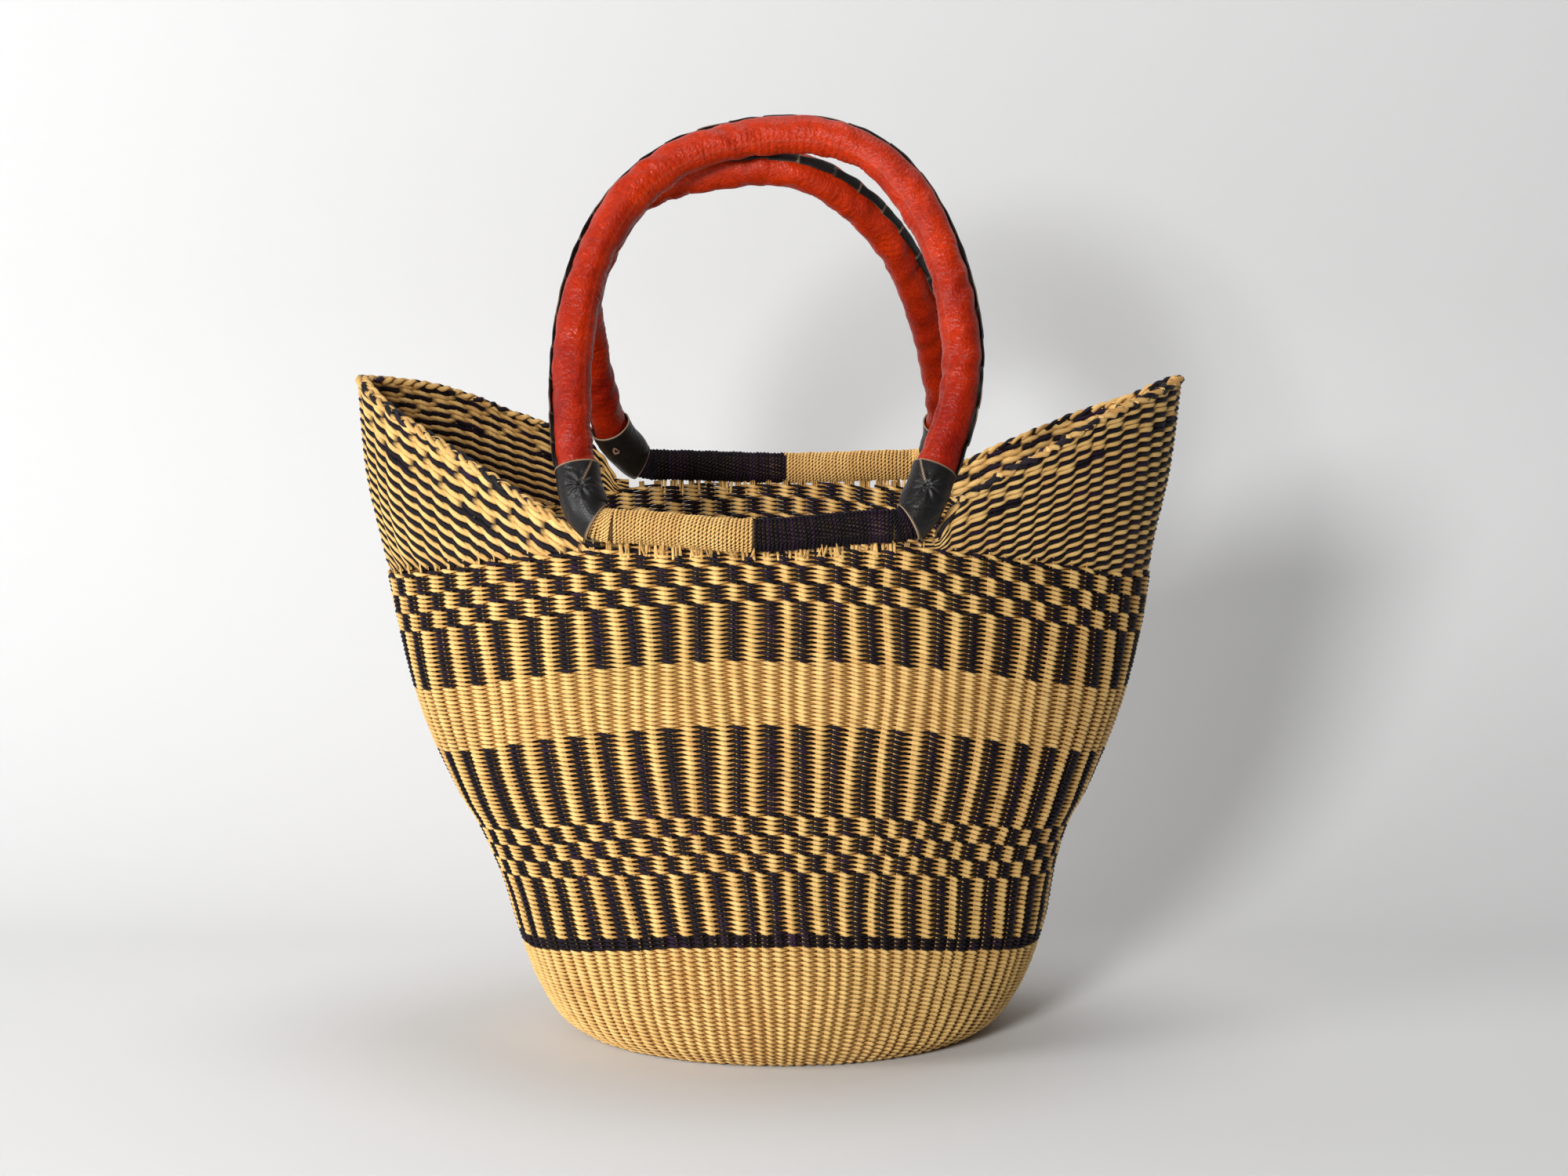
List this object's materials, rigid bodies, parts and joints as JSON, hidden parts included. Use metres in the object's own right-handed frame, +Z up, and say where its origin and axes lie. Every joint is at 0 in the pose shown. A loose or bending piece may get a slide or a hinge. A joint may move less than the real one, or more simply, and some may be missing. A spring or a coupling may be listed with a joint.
{
  "type": "woven market basket",
  "caption": "Twined grass market basket with raised pointed wings, cord-wrapped rim rolls and leather-sleeved arched carrying handles that fold outward.",
  "frame": {"origin": "middle of the basket's footprint box on the floor, at the height of the flat underside", "axes": "+Z up; -Y is the front; +X to the right across the width, wing tip to wing tip"},
  "size_m": [0.424, 0.2642, 0.4739],
  "materials": {
    "straw_grass": "natural twisted grass",
    "mixed_grass": "natural and dark purple twisted grass",
    "purple_grass": "dark purple dyed grass",
    "stake_grass": "bundled grass stakes",
    "red_leather": "orange-red dyed leather, softly rippled",
    "black_leather": "black dyed leather, cut edges tan",
    "tan_thread": "tan thread"
  },
  "bodies": {
    "basket": {"base_disc": "straw_grass", "lower_straw_band": "straw_grass", "middle_straw_band": "straw_grass", "right_wing_border": "straw_grass", "left_wing_border": "straw_grass", "front_roll_straw_wrap": "straw_grass", "back_roll_straw_wrap": "straw_grass", "lower_stripe_band": "mixed_grass", "lower_step_band": "mixed_grass", "middle_stripe_band": "mixed_grass", "upper_stripe_band": "mixed_grass", "upper_step_band": "mixed_grass", "right_wing": "mixed_grass", "left_wing": "mixed_grass", "dark_line_band": "purple_grass", "front_roll_purple_wrap": "purple_grass", "back_roll_purple_wrap": "purple_grass", "front_roll_core": "stake_grass", "back_roll_core": "stake_grass"},
    "front_handle": {"front_left_root_wrap": "straw_grass", "front_right_root_wrap": "purple_grass", "front_handle_core": "stake_grass", "front_handle_sleeve": "red_leather", "front_handle_strip": "black_leather", "front_left_cuff": "black_leather", "front_right_cuff": "black_leather", "front_left_cuff_tie": "tan_thread", "front_right_cuff_tie": "tan_thread"},
    "back_handle": {"back_left_root_wrap": "straw_grass", "back_right_root_wrap": "purple_grass", "back_handle_core": "stake_grass", "back_handle_sleeve": "red_leather", "back_handle_strip": "black_leather", "back_left_cuff": "black_leather", "back_right_cuff": "black_leather", "back_left_cuff_tie": "tan_thread", "back_right_cuff_tie": "tan_thread"}
  },
  "joints": [
    {"name": "front_handle_swing", "type": "hinge", "parent": "basket", "child": "front_handle", "pos_m": [0, -0.114, 0.279], "axis": [1, 0, 0], "range_deg": [0, 155]},
    {"name": "back_handle_swing", "type": "hinge", "parent": "basket", "child": "back_handle", "pos_m": [0, 0.114, 0.279], "axis": [-1, 0, 0], "range_deg": [0, 165]}
  ]
}
